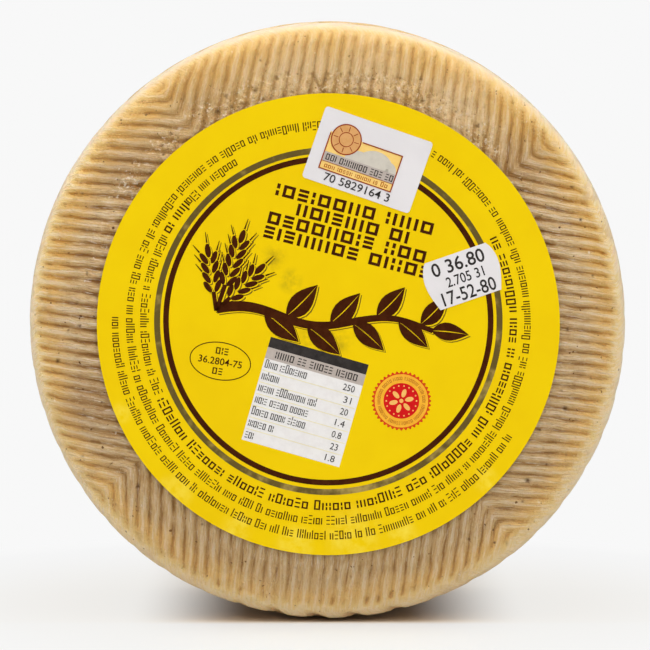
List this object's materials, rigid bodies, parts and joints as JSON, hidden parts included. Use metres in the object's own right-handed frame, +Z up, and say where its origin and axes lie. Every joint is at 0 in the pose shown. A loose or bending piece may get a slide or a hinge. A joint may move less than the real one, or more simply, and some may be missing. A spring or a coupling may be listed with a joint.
{
  "type": "manchego cheese wheel",
  "caption": "Whole small wheel of aged sheep's milk cheese resting on its rim, with mitred ridges pressed into both faces, a plaited print round the side and a round paper label with stickers.",
  "frame": {"origin": "on the surface that the wheel rests on, under the middle of the whole", "axes": "+X to the right as the label is read, +Y along the wheel's axis from the labelled face to the back face, +Z up"},
  "size_m": [0.1456, 0.0666, 0.1456],
  "materials": {
    "rind": "waxy pale rind, cream on the ridges and golden brown in the grooves",
    "label_paper": "smooth coated paper, printed yellow",
    "sticker_paper": "white self-adhesive paper"
  },
  "bodies": {
    "root": {"cheese_wheel": "rind", "round_label": "label_paper", "control_sticker": "sticker_paper", "price_sticker": "sticker_paper"}
  },
  "joints": []
}
